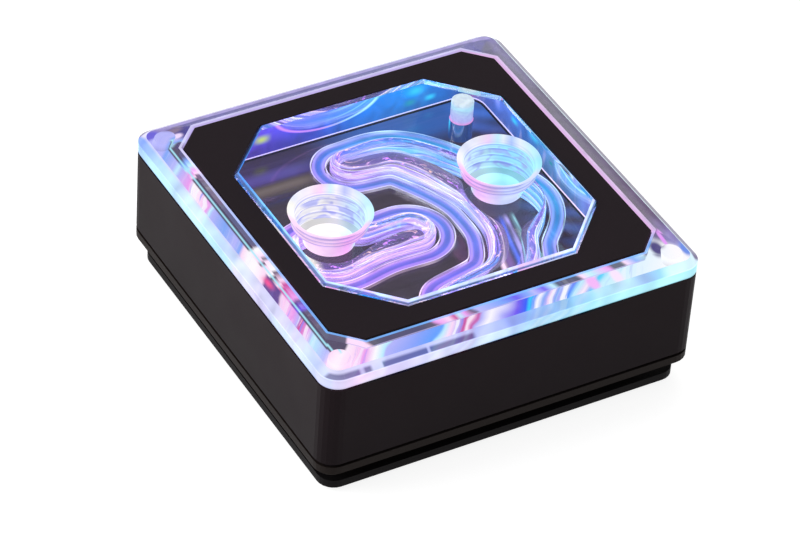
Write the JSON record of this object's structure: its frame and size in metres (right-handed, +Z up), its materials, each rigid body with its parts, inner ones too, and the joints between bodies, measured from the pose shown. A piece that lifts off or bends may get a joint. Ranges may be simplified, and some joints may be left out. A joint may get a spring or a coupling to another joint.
{
  "type": "cpu water block",
  "caption": "Square CPU water block with a lit clear top, an eight-sided black frame, two threaded ports, milled coolant channels and a finned cold plate in a black housing.",
  "frame": {"origin": "centre of the cold plate's contact face, the lowest face of the block", "axes": "+Z up, out of the ports; +X from the inlet port to the outlet port; -Y to the front"},
  "size_m": [0.071, 0.071, 0.0289],
  "materials": {
    "clear_acrylic": "polished clear acrylic, lit from below with blue and pink light",
    "black_anodised": "fine satin black",
    "black_paint": "matt black",
    "nickel_plate": "nickel plate with a fine lapped face",
    "mirror_steel": "mirror polished",
    "screw_steel": "black oxide",
    "lit_silicone": "translucent silicone",
    "black_rubber": "matt",
    "adhesive_film": "matt",
    "white_board": "white solder mask",
    "led_body": "clear resin lens",
    "header_plastic": "plain moulded"
  },
  "bodies": {
    "root": {"acrylic_top": "clear_acrylic", "face_frame": "black_anodised", "frame_adhesive": "adhesive_film", "housing": "black_anodised", "base_frame": "black_anodised", "mounting_plate": "black_paint", "cold_plate": "nickel_plate", "plate_seal": "black_rubber", "jet_plate": "screw_steel", "flow_plate": "mirror_steel", "outlet_gasket": "lit_silicone", "inlet_gasket": "lit_silicone", "led_board": "white_board", "led_header": "header_plastic", "cable_grommet": "black_rubber", "led_1": "led_body", "led_2": "led_body", "led_3": "led_body", "led_4": "led_body", "led_5": "led_body", "led_6": "led_body", "led_7": "led_body", "led_8": "led_body", "led_9": "led_body", "led_10": "led_body", "led_11": "led_body", "led_12": "led_body", "led_13": "led_body", "led_14": "led_body", "led_15": "led_body", "led_16": "led_body", "corner_screw_1": "screw_steel", "corner_screw_2": "screw_steel", "corner_screw_3": "screw_steel", "corner_screw_4": "screw_steel", "plate_screw_1": "screw_steel", "plate_screw_2": "screw_steel", "plate_screw_3": "screw_steel", "plate_screw_4": "screw_steel", "board_screw_1": "screw_steel", "board_screw_2": "screw_steel", "board_screw_3": "screw_steel", "board_screw_4": "screw_steel"}
  },
  "joints": []
}
